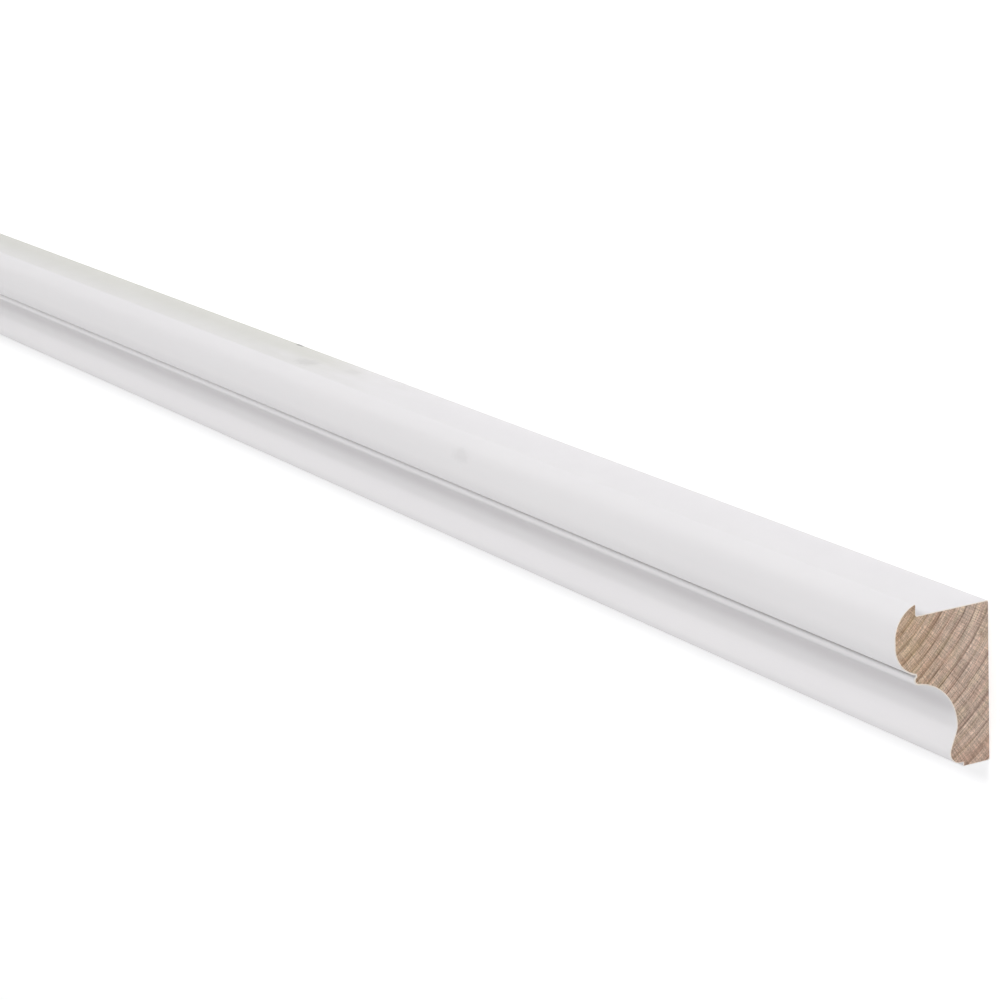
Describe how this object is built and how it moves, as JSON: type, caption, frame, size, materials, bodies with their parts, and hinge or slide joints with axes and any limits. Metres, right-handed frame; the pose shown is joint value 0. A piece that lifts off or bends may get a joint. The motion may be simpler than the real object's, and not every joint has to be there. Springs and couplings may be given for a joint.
{
  "type": "light rail moulding",
  "caption": "Wooden light rail for the bottom edge of wall cabinets: rebated top behind a raised lip, half-round nose, quirked bead, deep cove and foot bead, painted satin white.",
  "frame": {"origin": "middle of the length and of the section's height, on the back face, which lies on the floor", "axes": "+X along the length, +Y up the section from the base to the lip, +Z from the back to the nose"},
  "size_m": [2.4, 0.045, 0.0285],
  "materials": {
    "painted_hardwood": "satin"
  },
  "bodies": {
    "root": {"moulding": "painted_hardwood"}
  },
  "joints": []
}
